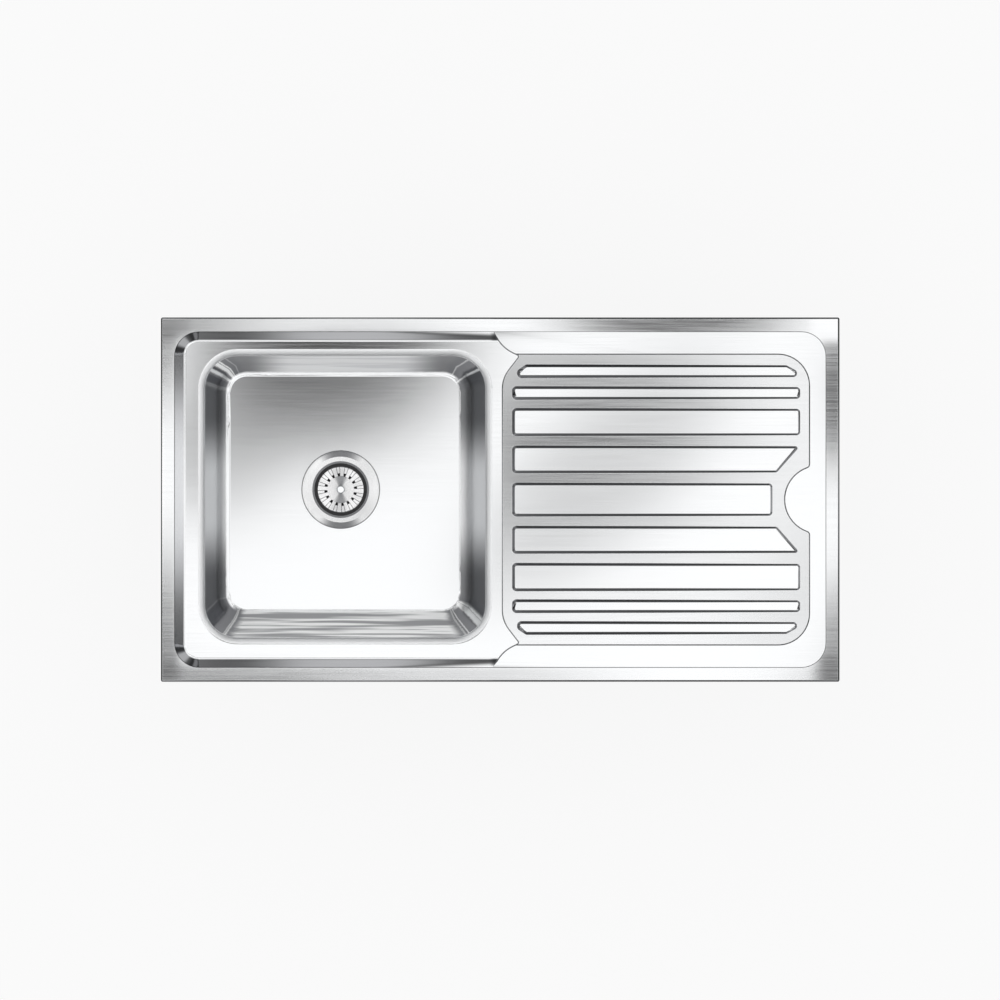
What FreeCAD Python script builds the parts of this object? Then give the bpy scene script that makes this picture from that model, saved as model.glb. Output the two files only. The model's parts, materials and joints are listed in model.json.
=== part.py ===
import FreeCAD, Part
import math
import os

V = FreeCAD.Vector

# Inset kitchen sink: a pressed stainless deck with a drainboard, and a square bowl welded in.
# Millimetres. The origin is the middle of the rim's outline, on the worktop's surface.
# +X runs towards the drainboard, +Y to the back edge and +Z up.

# ---- deck, seen from above ----
LENGTH = 950.0
WIDTH = 510.0
SHEET = 1.0                  # thickness of the steel, in deck and bowl
RIM_CORNER = 2.5
RIM_BEVEL = 2.0              # slope round the rim's outer edge
RIM_SIDE = 19.0              # flat rim along the two ends
RIM_LONG = 20.0              # flat rim along front and back
WELL_CORNER = 34.5           # inner corners of the rim
BAND_SIDE = 14.0             # slope from rim to ledge at the bowl's end
BAND_LONG = 12.0             # and along front and back
LEDGE_CORNER = 20.0
SHOULDER_END = 23.0          # raised border between drainboard and rim, at the end
SHOULDER_LONG = 31.5         # and along front and back
TRAY_CORNER = 44.0
LOBE_REACH = 12.5            # how far the border's lobes start ahead of the drainboard
LOBE_RUN = 13.0              # a lobe's edge bends here, counted from its start at the rim
LOBE_FALL = 23.0
LOBE_RADIUS = 50.0
HORN_REACH = 24.0            # the ledge's pointed corners beside the drainboard
HORN_DROP = 2.5
HORN_RISE = 31.0
HORN_TIP = 2.7
HORN_BEND = 44.0
NOTCH_RADIUS = 47.5          # half-round rest in the drainboard's end
NOTCH_CENTRE = 12.6          # its centre, past the drainboard's edge
NOTCH_BLEND = 5.0

# ---- deck, heights ----
RIM_TOP = 4.0
SHOULDER_DROP = 1.0
LEDGE_DROP = 9.0
TRAY_DROP_END = 4.0          # the drainboard falls towards the bowl
TRAY_DROP_BOWL = 5.5
RIB_DROP = 2.0
RIB_FLANK = 3.0              # width of a rib's sloping side

# ---- ribs: half of them, from the middle outwards ----
RIB_START = 14.5             # from the drainboard's left edge
RIB_END = 12.5               # from its right edge
RIB_GAP = 14.5
RIB_OUTER_GAP = 13.0
RIB_CORNER = 5.5
MIDDLE_RIB = 46.0
MIDDLE_RIB_END = 51.5        # this rib stops short of the half-round rest
SLANTED_RIB = 37.5
SLANT = 33.0
SLANT_TIP = 3.0
WIDE_RIB = 38.0
NARROW_RIB = 17.5
EDGE_RIB = 17.5
EDGE_RIB_INSET_LEFT = 7.0
EDGE_RIB_INSET_RIGHT = 4.5
EDGE_RIB_CUT_LEFT = 12.0
EDGE_RIB_CUT_RIGHT = 15.0
EDGE_RIB_END = 9.5

# ---- bowl ----
BOWL_LENGTH = 394.0
BOWL_LEDGE_LEFT = 28.0       # ledge between its slope and the bowl's wall
BOWL_LEDGE_BACK = 21.5
BOWL_LEDGE_FRONT = 29.0
BOWL_CORNER = 46.0
BOWL_DEPTH = 180.0
BOWL_ROLL = 10.0             # rounding of the bowl's upper edge
FOOT_LEFT = 20.5             # how far each wall leans in by the floor
FOOT_RIGHT = 22.0
FOOT_BACK = 12.5
FOOT_FRONT = 25.0
FOOT_CORNER = 40.0
FOOT_ROUND = 18.0
TRAY_GAP = 23.0              # from the bowl's wall to the drainboard
SEAM_OUT = 12.0              # weld seam round the bowl
WELD_GAP = 0.1

# ---- waste hole and strainer ----
DRAIN_FROM_LEFT = 190.7      # from the bowl's left wall
DRAIN_FROM_BACK = 187.5      # from the bowl's back wall
DRAIN_HOLE = 45.0            # radius
RECESS_RADIUS = 57.0
FLANGE_RADIUS = 55.0
FLANGE_SHEET = 1.5
FLANGE_GASKET = 1.7
DISH_EDGE = 46.0             # where the flange starts to dip
DISH_EDGE_DEPTH = 0.8
DISH_RADIUS = 39.5
DISH_DEPTH = 4.0
CUP_STEP = 1.4
CUP_BORE = 36.8
CUP_THREAD = 41.5
SEAT_TOP = 43.8              # depths below the bowl's floor from here on
SEAT_BOTTOM = 49.8
SEAT_OUTER = 34.0
SEAT_INNER = 22.0
SPIGOT_BORE = 19.0
SPIGOT_THREAD = 23.5
SPIGOT_TOP = 53.0
SPIGOT_END = 74.0
HUB_RADIUS = 9.0
HUB_TOP = 54.0
HUB_HEIGHT = 6.0
HUB_ARMS = 4
HUB_ARM_WIDTH = 3.0
THREAD_PLAY = 0.05
RUNNING_PLAY = 0.3

UNDER_GASKET = 3.0
UNDER_GASKET_RADIUS = 56.0
FRICTION_RING = 1.2
LOCKNUT_RADIUS = 52.0
LOCKNUT_HEIGHT = 10.0
LOCKNUT_LUGS = 8
LUG_LENGTH = 4.0
LUG_WIDTH = 10.0

TAIL_RADIUS = 20.0
TAIL_WALL = 1.6
TAIL_NECK = 0.6              # how much slimmer the tube is inside its nut
TAIL_NECK_END = 3.0          # and how far below the nut that goes on
TAIL_FLANGE = 22.8
TAIL_WASHER = 1.5
TAIL_FLANGE_SHEET = 1.6
TAIL_END = 140.0
COUPLING_RADIUS = 27.5
COUPLING_GRIP = 12.0         # length of thread it covers
COUPLING_LIP = 3.0
COUPLING_RIBS = 12
COUPLING_RIB = 2.5

# ---- basket ----
BASKET_RIM = 32.0
BASKET_SHEET = 0.8
BASKET_TOP = 7.0
BASKET_FLOOR = 34.0
BASKET_WALL_TOP = 31.0
BASKET_FOOT = 20.0
SLOTS = 16
SLOT_TURN = 7.0              # degrees
SLOT_WIDTH = 3.0
SLOT_INNER = 18.7
SLOT_OUTER = 23.0
SEAL_HEIGHT = 4.0
SEAL_SOCKET = 0.2            # play between the basket's rim and its seal
POST_RADIUS = 4.0
POST_PIN = 2.0               # thin upper end, through basket and knob
POST_END = 66.0
KNOB_RADIUS = 5.8
KNOB_NECK = 3.6
KNOB_TOP = 13.0
KNOB_HEAD = 7.0
STOPPER_RADIUS = 25.0
STOPPER_TOP = 38.0
STOPPER_HEIGHT = 4.0
STOPPER_NUT_RADIUS = 9.0
STOPPER_NUT_HEIGHT = 5.0
CATCH_RADIUS = 7.0
CATCH_HEIGHT = 1.6

# ---- rim seal and sound-deadening pads ----
SEAL_WIDTH = 9.0
SEAL_FROM_LIP = 3.0
PAD_SHEET = 2.5
PAD_HOLE = 63.0
PAD_MARGIN = 26.0            # inside the bowl's floor outline
TRAY_PAD_MARGIN = 38.0

# ---- fixing clips ----
BRACKET_LENGTH = 28.0
BRACKET_WIDTH = 11.0
BRACKET_SHEET = 2.0
BRACKET_BOTTOM = 28.0        # below the worktop's surface
CLIP_NUT_FLATS = 8.0
CLIP_NUT_HEIGHT = 4.0
SCREW_RADIUS = 2.5
SCREW_TIP = 23.5
SCREW_HEAD_RADIUS = 4.7
SCREW_HEAD_HEIGHT = 3.2
SCREW_SLOT_WIDTH = 1.2
SCREW_SLOT_DEPTH = 1.6
CLIP_WASHER_RADIUS = 5.5
CLIP_WASHER = 1.0
CLAW_TOP = 50.0
CLAW_SHEET = 2.5
CLAW_WIDTH = 14.0
CLAW_REACH = 46.0
CLAW_HEEL = 8.0
CLAW_TIP = 10.0
CLIPS_ALONG = (-320.0, -80.0, 220.0)
CLIP_END_INSET = 12.0        # right clip, from the rim's inner edge

# ---- places worked out from the sizes above ----
HALF_LENGTH = LENGTH / 2
HALF_WIDTH = WIDTH / 2
WELL_X = HALF_LENGTH - RIM_SIDE
WELL_Y = HALF_WIDTH - RIM_LONG
SHOULDER_Z = RIM_TOP - SHOULDER_DROP
LEDGE_Z = RIM_TOP - LEDGE_DROP
RIB_Z = RIM_TOP - RIB_DROP
TRAY_LOW_Z = RIM_TOP - TRAY_DROP_BOWL
TRAY_HIGH_Z = RIM_TOP - TRAY_DROP_END
FLOOR_Z = LEDGE_Z - BOWL_DEPTH
LEDGE_LEFT = -WELL_X + BAND_SIDE
LEDGE_Y = WELL_Y - BAND_LONG
BOWL_LEFT = LEDGE_LEFT + BOWL_LEDGE_LEFT
BOWL_RIGHT = BOWL_LEFT + BOWL_LENGTH
BOWL_BACK = LEDGE_Y - BOWL_LEDGE_BACK
BOWL_FRONT = -LEDGE_Y + BOWL_LEDGE_FRONT
TRAY_LEFT = BOWL_RIGHT + TRAY_GAP
TRAY_RIGHT = WELL_X - SHOULDER_END
TRAY_Y = WELL_Y - SHOULDER_LONG
DRAIN_X = BOWL_LEFT + DRAIN_FROM_LEFT
DRAIN_Y = BOWL_BACK - DRAIN_FROM_BACK
RECESS_DEPTH = FLANGE_SHEET + FLANGE_GASKET
ABOVE = RIM_TOP + 10.0       # past every upper face, for cutting
BELOW = FLOOR_Z - 50.0       # past the bowl's floor, for cutting


# ---- outlines: corners (x, y, radius), anticlockwise ----
def rectangle(x0, x1, y0, y1, radius):
    return [(x0, y0, radius), (x1, y0, radius), (x1, y1, radius), (x0, y1, radius)]


def directions(corners, i):
    """Unit directions of the sides before and after a corner."""
    x, y, _ = corners[i]
    before = corners[i - 1]
    after = corners[(i + 1) % len(corners)]
    arriving = V(x - before[0], y - before[1], 0).normalize()
    leaving = V(after[0] - x, after[1] - y, 0).normalize()
    return arriving, leaving


def grown(corners, by):
    """The outline with every side moved outwards, and its round corners kept concentric."""
    moved = []
    for i, (x, y, radius) in enumerate(corners):
        arriving, leaving = directions(corners, i)
        shift = by / (1 + arriving.dot(leaving))
        convex = arriving.cross(leaving).z > 0
        if radius > 0:
            radius = max(radius + (by if convex else -by), 0.3)
        moved.append((x + (arriving.y + leaving.y) * shift, y - (arriving.x + leaving.x) * shift, radius))
    return moved


def mirrored(corners):
    """The outline on the other side of the X axis."""
    return [(x, -y, radius) for x, y, radius in reversed(corners)]


def tangents(corners):
    """Length that each round corner takes off its sides, no more than the sides have."""
    taken = []
    for i, (_, _, radius) in enumerate(corners):
        arriving, leaving = directions(corners, i)
        taken.append(radius * math.tan(arriving.getAngle(leaving) / 2))
    for i, (x, y, _) in enumerate(corners):
        side = math.dist((x, y), corners[i - 1][:2])
        both = taken[i] + taken[i - 1]
        if both > 0.98 * side:
            taken[i] *= 0.98 * side / both
            taken[i - 1] *= 0.98 * side / both
    return taken


def wire(corners, z):
    """Closed wire at height z: straight sides, with an arc at each round corner."""
    stretches = []
    for i, tangent in enumerate(tangents(corners)):
        arriving, leaving = directions(corners, i)
        corner = V(corners[i][0], corners[i][1], z)
        if tangent == 0:
            stretches.append((corner, None, corner))
            continue
        half_turn = arriving.getAngle(leaving) / 2
        inwards = (leaving - arriving).normalize()
        middle = corner + inwards * (tangent * (1 - math.cos(half_turn)) / math.sin(half_turn))
        stretches.append((corner - arriving * tangent, middle, corner + leaving * tangent))
    edges = []
    for i, (start, middle, end) in enumerate(stretches):
        if middle is not None:
            edges.append(Part.Arc(start, middle, end).toShape())
        following = stretches[(i + 1) % len(stretches)][0]
        if end.distanceToPoint(following) > 1e-6:
            edges.append(Part.makeLine(end, following))
    return Part.Wire(edges)


def prism(corners, z0, z1):
    return Part.Face(wire(corners, z0)).extrude(V(0, 0, z1 - z0))


def between(lower, z0, upper, z1):
    """Solid with straight sides from one outline to another with as many corners."""
    return Part.makeLoft([wire(lower, z0), wire(upper, z1)], True, True)


def turned(profile, x, y, z):
    """Solid of revolution about a vertical axis, from (radius, height) points."""
    points = [V(x + radius, y, z + height) for radius, height in profile]
    return Part.Face(Part.makePolygon(points + points[:1])).revolve(V(x, y, 0), V(0, 0, 1), 360)


def ring(inner, outer, depth0, depth1):
    """Flat ring round the waste's axis, between two depths below the bowl's floor."""
    return turned([(inner, -depth0), (inner, -depth1), (outer, -depth1), (outer, -depth0)],
                  DRAIN_X, DRAIN_Y, FLOOR_Z)


def spokes(shape, count):
    """Copies of a shape, evenly turned round the waste's axis."""
    step = 360.0 / count
    return [shape.rotated(V(DRAIN_X, DRAIN_Y, 0), V(0, 0, 1), step * i) for i in range(count)]


# ---- deck ----
WELL = rectangle(-WELL_X, WELL_X, -WELL_Y, WELL_Y, WELL_CORNER)

# Plan of the lower ledge: it ends in a horn beside each corner of the drainboard.
LOBE_X = TRAY_LEFT - LOBE_REACH
HORN_Y = TRAY_Y - HORN_DROP
LEDGE_HALF = [
    (TRAY_LEFT, HORN_Y - HORN_RISE, HORN_BEND),
    (TRAY_LEFT + HORN_REACH, HORN_Y, HORN_TIP),
    (LOBE_X + LOBE_RUN, WELL_Y - LOBE_FALL, LOBE_RADIUS),
    (LOBE_X, WELL_Y, 0),
    (-WELL_X, WELL_Y, WELL_CORNER),
]
LEDGE_PLAN = LEDGE_HALF + mirrored(LEDGE_HALF)

# The drainboard's plan starts inside the ledge, which is deeper and swallows its left end.
TRAY_HALF = [
    (TRAY_RIGHT, TRAY_Y, TRAY_CORNER),
    (TRAY_LEFT + HORN_REACH / 2, TRAY_Y, 0),
    (TRAY_LEFT, HORN_Y - HORN_RISE / 2, 0),
    (LOBE_X, HORN_Y - 2 * HORN_RISE, 0),
]
TRAY_PLAN = TRAY_HALF + mirrored(TRAY_HALF)


def cap(inset, bottom):
    """Block with the rim's outline and bevel; its shell is the rim with the turned-down lip."""
    outline = grown(rectangle(-HALF_LENGTH, HALF_LENGTH, -HALF_WIDTH, HALF_WIDTH, RIM_CORNER), -inset)
    bevel_z = RIM_TOP - inset - RIM_BEVEL
    bevel = between(outline, bevel_z, grown(outline, -RIM_BEVEL), RIM_TOP - inset)
    return prism(outline, bottom, bevel_z).fuse(bevel)


def ledge_air(t, top):
    """Space above the ledge round the bowl, its faces moved out by t."""
    far = TRAY_LEFT + 2 * HORN_REACH
    upper = grown(rectangle(-WELL_X, far, -WELL_Y, WELL_Y, WELL_CORNER), t)
    lower = grown(rectangle(LEDGE_LEFT, far, -LEDGE_Y, LEDGE_Y, LEDGE_CORNER), t)
    funnel = between(lower, LEDGE_Z - t, upper, SHOULDER_Z - t).fuse(prism(upper, SHOULDER_Z - t, top))
    return funnel.common(prism(grown(LEDGE_PLAN, t), BELOW, top))


def tray_z(x):
    """Height of the drainboard's sloping floor."""
    return TRAY_LOW_Z + (TRAY_HIGH_Z - TRAY_LOW_Z) * (x - TRAY_LEFT) / (TRAY_RIGHT - TRAY_LEFT)


def under_tray(x0, x1, half_width, drop, depth):
    """Slab with the drainboard's slope, from drop below its floor down to depth below that."""
    points = [V(x0, -half_width, tray_z(x0) - drop), V(x1, -half_width, tray_z(x1) - drop),
              V(x1, -half_width, tray_z(x1) - drop - depth), V(x0, -half_width, tray_z(x0) - drop - depth)]
    return Part.Face(Part.makePolygon(points + points[:1])).extrude(V(0, 2 * half_width, 0))


def rib_outlines():
    """Plans of the raised ribs at their feet."""
    left = TRAY_LEFT + RIB_START
    right = TRAY_RIGHT - RIB_END
    r = RIB_CORNER
    y0 = MIDDLE_RIB / 2
    middle = rectangle(left, TRAY_RIGHT - MIDDLE_RIB_END, -y0, y0, r)
    y0 += RIB_GAP
    y1 = y0 + SLANTED_RIB
    slanted = [(left, y0, r), (right - SLANT, y0, r), (right, y1, SLANT_TIP), (left, y1, r)]
    y0 = y1 + RIB_GAP
    y1 = y0 + WIDE_RIB
    wide = rectangle(left, right, y0, y1, r)
    y0 = y1 + RIB_OUTER_GAP
    y1 = y0 + NARROW_RIB
    narrow = rectangle(left, right, y0, y1, r)
    y0 = y1 + RIB_OUTER_GAP
    y1 = y0 + EDGE_RIB
    left += EDGE_RIB_INSET_LEFT
    right -= EDGE_RIB_INSET_RIGHT
    edge = [(left, y0, r), (right, y0, r), (right, y0 + EDGE_RIB_END, r),
            (right - EDGE_RIB_CUT_RIGHT, y1, r), (left + EDGE_RIB_CUT_LEFT, y1, r),
            (left, y0 + EDGE_RIB_END, r)]
    paired = [slanted, wide, narrow, edge]
    return [middle] + paired + [mirrored(rib) for rib in paired]


def rib(outline, t):
    """One rib with sloping sides, its faces moved in by t."""
    floor_z = (TRAY_LOW_Z + TRAY_HIGH_Z) / 2
    lean = RIB_FLANK / (RIB_Z - floor_z)
    start_z = TRAY_LOW_Z - 2 * SHEET
    foot = grown(outline, (floor_z - start_z) * lean - t)
    return between(foot, start_z, grown(outline, -RIB_FLANK - t), RIB_Z - t)


def tray_air(t, top):
    """Space above the drainboard, its faces moved out by t."""
    space = prism(grown(TRAY_PLAN, t), TRAY_LOW_Z - 4 * SHEET, top)
    notch = Part.makeCylinder(NOTCH_RADIUS - t, ABOVE - BELOW, V(TRAY_RIGHT + NOTCH_CENTRE, 0, BELOW))
    space = space.cut(notch)
    corners = [edge for edge in space.Edges
               if edge.BoundBox.ZLength > SHEET and abs(edge.BoundBox.XMin - TRAY_RIGHT - t) < 0.01
               and abs(edge.BoundBox.YMin) < NOTCH_RADIUS]
    space = space.makeFillet(NOTCH_BLEND + t, corners)
    space = space.cut(under_tray(LOBE_X - NOTCH_RADIUS, HALF_LENGTH, HALF_WIDTH, t, 20.0))
    return space.cut([rib(outline, t) for outline in rib_outlines()])


def deck_air(t, top):
    well = prism(grown(WELL, t), SHOULDER_Z - t, top)
    return well.fuse([ledge_air(t, top), tray_air(t, top)])


def bowl_outline():
    return rectangle(BOWL_LEFT, BOWL_RIGHT, BOWL_FRONT, BOWL_BACK, BOWL_CORNER)


def make_sink_deck():
    shell = cap(0, 0).cut(cap(SHEET, -SHEET))
    sheet = shell.fuse(deck_air(SHEET, RIM_TOP - SHEET / 2))
    sheet = sheet.cut(deck_air(0, ABOVE))
    return sheet.cut(prism(grown(bowl_outline(), SEAM_OUT), BELOW, ABOVE)).removeSplitter()


# ---- bowl ----
def foot_outline():
    """Plan where the walls would meet the floor, were there no rounding."""
    return rectangle(BOWL_LEFT + FOOT_LEFT, BOWL_RIGHT - FOOT_RIGHT,
                     BOWL_FRONT + FOOT_FRONT, BOWL_BACK - FOOT_BACK, FOOT_CORNER)


def bowl_air(t):
    """Space in and above the bowl, its faces moved out by t."""
    hollow = between(grown(foot_outline(), t), FLOOR_Z - t, grown(bowl_outline(), t), LEDGE_Z - t)
    foot = [edge for edge in hollow.Edges if edge.BoundBox.ZMax < FLOOR_Z - t + 0.01]
    hollow = hollow.makeFillet(FOOT_ROUND + t, foot)
    slab = prism(grown(bowl_outline(), 3 * SEAM_OUT), LEDGE_Z - t, ABOVE)
    space = hollow.fuse(slab).removeSplitter()
    lip = [edge for edge in space.Edges
           if abs(edge.BoundBox.ZMin - LEDGE_Z + t) < 0.01 and edge.BoundBox.ZLength < 0.01
           and edge.BoundBox.XMin > BOWL_LEFT - SEAM_OUT and edge.BoundBox.XMax < BOWL_RIGHT + SEAM_OUT
           and edge.BoundBox.YMin > BOWL_FRONT - SEAM_OUT and edge.BoundBox.YMax < BOWL_BACK + SEAM_OUT]
    space = space.makeFillet(BOWL_ROLL - t, lip)
    recess = Part.makeCylinder(RECESS_RADIUS + t, 2 * RECESS_DEPTH + t,
                               V(DRAIN_X, DRAIN_Y, FLOOR_Z - RECESS_DEPTH - t))
    return space.fuse(recess)


def make_bowl():
    block = prism(grown(bowl_outline(), SEAM_OUT - WELD_GAP), BELOW, LEDGE_Z)
    hole = Part.makeCylinder(DRAIN_HOLE, LEDGE_Z - BELOW, V(DRAIN_X, DRAIN_Y, BELOW))
    return block.common(bowl_air(SHEET)).cut(bowl_air(0)).cut(hole)


# ---- seal and pads ----
def make_rim_seal():
    outer = grown(rectangle(-HALF_LENGTH, HALF_LENGTH, -HALF_WIDTH, HALF_WIDTH, RIM_CORNER),
                  -SHEET - SEAL_FROM_LIP)
    return prism(outer, 0, RIM_TOP - SHEET).cut(prism(grown(outer, -SEAL_WIDTH), 0, RIM_TOP - SHEET))


def make_bowl_floor_pad():
    top = FLOOR_Z - SHEET
    pad = prism(grown(foot_outline(), -PAD_MARGIN), top - PAD_SHEET, top)
    return pad.cut(Part.makeCylinder(PAD_HOLE, 4 * PAD_SHEET, V(DRAIN_X, DRAIN_Y, top - 2 * PAD_SHEET)))


def make_drainer_pad():
    return under_tray(TRAY_LEFT + TRAY_PAD_MARGIN, TRAY_RIGHT - TRAY_PAD_MARGIN,
                      TRAY_Y - TRAY_PAD_MARGIN, SHEET, PAD_SHEET)


# ---- strainer, from the bowl's floor down ----
UNDER_FLOOR = RECESS_DEPTH + SHEET


def make_strainer_body():
    step = DISH_RADIUS - CUP_STEP
    shell = turned([
        (FLANGE_RADIUS, -FLANGE_SHEET), (FLANGE_RADIUS, -FLANGE_SHEET / 2),
        (FLANGE_RADIUS - FLANGE_SHEET / 2, 0), (FLANGE_RADIUS - 2 * FLANGE_SHEET, 0),
        (DISH_EDGE, -DISH_EDGE_DEPTH), (DISH_RADIUS, -DISH_DEPTH), (step, -DISH_DEPTH - 0.5),
        (step, -DISH_DEPTH - CUP_STEP),
        (CUP_BORE, -DISH_DEPTH - 2 * CUP_STEP), (CUP_BORE, -SEAT_TOP + CUP_STEP),
        (SEAT_OUTER, -SEAT_TOP), (SEAT_INNER, -SEAT_BOTTOM), (SPIGOT_BORE, -SEAT_BOTTOM - 1.0),
        (SPIGOT_BORE, -SPIGOT_END), (SPIGOT_THREAD, -SPIGOT_END), (SPIGOT_THREAD, -SPIGOT_TOP - 4.0),
        (CUP_THREAD, -SPIGOT_TOP + 3.0), (CUP_THREAD, -UNDER_FLOOR),
        (DISH_EDGE + FLANGE_SHEET / 2, -FLANGE_SHEET),
    ], DRAIN_X, DRAIN_Y, FLOOR_Z)
    bore = POST_RADIUS + RUNNING_PLAY
    pocket = CATCH_RADIUS + THREAD_PLAY
    bottom = HUB_TOP + HUB_HEIGHT
    hub = ring(bore, HUB_RADIUS, HUB_TOP, bottom).cut(
        ring(bore - 1.0, pocket, HUB_TOP - 1.0, HUB_TOP + CATCH_HEIGHT))
    arm = Part.makeBox(SPIGOT_BORE - HUB_RADIUS + 1.5, HUB_ARM_WIDTH, HUB_HEIGHT,
                       V(DRAIN_X + HUB_RADIUS - 0.5, DRAIN_Y - HUB_ARM_WIDTH / 2, FLOOR_Z - bottom))
    return shell.fuse([hub] + spokes(arm, HUB_ARMS)).removeSplitter()


def make_spring_catch():
    return ring(POST_RADIUS + RUNNING_PLAY, CATCH_RADIUS, HUB_TOP, HUB_TOP + CATCH_HEIGHT)


def make_flange_gasket():
    return ring(DISH_EDGE + FLANGE_SHEET, FLANGE_RADIUS, FLANGE_SHEET, RECESS_DEPTH)


FRICTION_TOP = UNDER_FLOOR + UNDER_GASKET
LOCKNUT_TOP = FRICTION_TOP + FRICTION_RING


def make_underside_gasket():
    return ring(CUP_THREAD + RUNNING_PLAY, UNDER_GASKET_RADIUS, UNDER_FLOOR, FRICTION_TOP)


def make_friction_ring():
    return ring(CUP_THREAD + RUNNING_PLAY, FLANGE_RADIUS, FRICTION_TOP, LOCKNUT_TOP)


def make_locknut():
    bottom = LOCKNUT_TOP + LOCKNUT_HEIGHT
    nut = ring(CUP_THREAD + THREAD_PLAY, LOCKNUT_RADIUS, LOCKNUT_TOP, bottom)
    lug = Part.makeBox(LUG_LENGTH + 1.0, LUG_WIDTH, LOCKNUT_HEIGHT,
                       V(DRAIN_X + LOCKNUT_RADIUS - 1.0, DRAIN_Y - LUG_WIDTH / 2, FLOOR_Z - bottom))
    return nut.fuse(spokes(lug, LOCKNUT_LUGS)).removeSplitter()


TAIL_TOP = SPIGOT_END + TAIL_WASHER
TAIL_SHOULDER = TAIL_TOP + TAIL_FLANGE_SHEET
COUPLING_BOTTOM = TAIL_SHOULDER + COUPLING_LIP


def make_tailpiece_washer():
    return ring(SPIGOT_BORE, TAIL_FLANGE, SPIGOT_END, TAIL_TOP)


def make_tailpiece():
    bore = TAIL_RADIUS - TAIL_WALL
    neck = TAIL_RADIUS - TAIL_NECK
    neck_end = COUPLING_BOTTOM + TAIL_NECK_END
    return turned([
        (bore, -TAIL_TOP), (bore, -TAIL_END), (TAIL_RADIUS, -TAIL_END), (TAIL_RADIUS, -neck_end),
        (neck, -neck_end), (neck, -TAIL_SHOULDER), (TAIL_FLANGE, -TAIL_SHOULDER),
        (TAIL_FLANGE, -TAIL_TOP),
    ], DRAIN_X, DRAIN_Y, FLOOR_Z)


def make_coupling_nut():
    thread = SPIGOT_THREAD + THREAD_PLAY
    top = SPIGOT_END - COUPLING_GRIP
    bottom = COUPLING_BOTTOM
    throat = TAIL_RADIUS + RUNNING_PLAY
    nut = turned([
        (thread, -top), (thread, -TAIL_SHOULDER), (throat, -TAIL_SHOULDER), (throat, -bottom),
        (COUPLING_RADIUS, -bottom), (COUPLING_RADIUS, -top),
    ], DRAIN_X, DRAIN_Y, FLOOR_Z)
    grip = Part.makeBox(COUPLING_RIB + 1.0, COUPLING_RIB, bottom - top,
                        V(DRAIN_X + COUPLING_RADIUS - 1.0, DRAIN_Y - COUPLING_RIB / 2, FLOOR_Z - bottom))
    return nut.fuse(spokes(grip, COUPLING_RIBS)).removeSplitter()


# ---- basket and its stem ----
def make_basket():
    s = BASKET_SHEET
    eye = POST_PIN + THREAD_PLAY
    rim_bottom = BASKET_TOP + s
    cup = turned([
        (eye, -BASKET_FLOOR), (eye, -BASKET_FLOOR - s), (BASKET_FOOT, -BASKET_FLOOR - s),
        (BASKET_WALL_TOP, -rim_bottom - SEAL_HEIGHT), (BASKET_RIM, -rim_bottom - SEAL_HEIGHT),
        (BASKET_RIM, -BASKET_TOP), (BASKET_WALL_TOP, -BASKET_TOP), (BASKET_WALL_TOP - s, -rim_bottom),
        (BASKET_WALL_TOP - s, -rim_bottom - SEAL_HEIGHT), (BASKET_FOOT - s, -BASKET_FLOOR),
    ], DRAIN_X, DRAIN_Y, FLOOR_Z)
    slot = Part.makeBox(SLOT_OUTER - SLOT_INNER, SLOT_WIDTH, BASKET_FLOOR,
                        V(DRAIN_X + SLOT_INNER, DRAIN_Y - SLOT_WIDTH / 2, FLOOR_Z - BASKET_FLOOR - 4 * s))
    slot = slot.rotated(V(DRAIN_X, DRAIN_Y, 0), V(0, 0, 1), SLOT_TURN)
    return cup.cut(spokes(slot, SLOTS))


def make_basket_seal():
    return ring(BASKET_RIM + SEAL_SOCKET, CUP_BORE - RUNNING_PLAY, BASKET_TOP, BASKET_TOP + SEAL_HEIGHT)


def make_basket_post():
    """Stem with a thinner pin on top, which the basket and its knob turn on."""
    shoulder = BASKET_FLOOR + BASKET_SHEET + THREAD_PLAY
    pin_top = KNOB_TOP + KNOB_HEAD
    return turned([(0, -pin_top), (0, -POST_END), (POST_RADIUS - 1.0, -POST_END),
                   (POST_RADIUS, -POST_END + 1.0), (POST_RADIUS, -shoulder),
                   (POST_PIN, -shoulder), (POST_PIN, -pin_top)], DRAIN_X, DRAIN_Y, FLOOR_Z)


def make_basket_knob():
    socket = POST_PIN + THREAD_PLAY
    neck_top = KNOB_TOP + KNOB_HEAD
    return turned([(0, -KNOB_TOP), (0, -neck_top + THREAD_PLAY), (socket, -neck_top + THREAD_PLAY),
                   (socket, -BASKET_FLOOR), (KNOB_RADIUS, -BASKET_FLOOR), (KNOB_RADIUS, -BASKET_FLOOR + 1.5),
                   (KNOB_NECK, -BASKET_FLOOR + 3.0), (KNOB_NECK, -neck_top),
                   (KNOB_RADIUS, -neck_top + 2.0), (KNOB_RADIUS, -KNOB_TOP - 1.5),
                   (KNOB_RADIUS - 1.5, -KNOB_TOP)], DRAIN_X, DRAIN_Y, FLOOR_Z)


STOPPER_BOTTOM = STOPPER_TOP + STOPPER_HEIGHT


def make_stopper_seal():
    seat = BASKET_FLOOR + BASKET_SHEET + THREAD_PLAY
    bore = POST_RADIUS + THREAD_PLAY
    return turned([(bore, -seat), (bore, -STOPPER_BOTTOM),
                   (STOPPER_RADIUS - 1.0, -STOPPER_BOTTOM), (STOPPER_RADIUS, -STOPPER_BOTTOM + 1.0),
                   (STOPPER_RADIUS, -STOPPER_TOP), (BASKET_FOOT - 5.0, -STOPPER_TOP),
                   (BASKET_FOOT - 6.0, -seat)], DRAIN_X, DRAIN_Y, FLOOR_Z)


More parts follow.
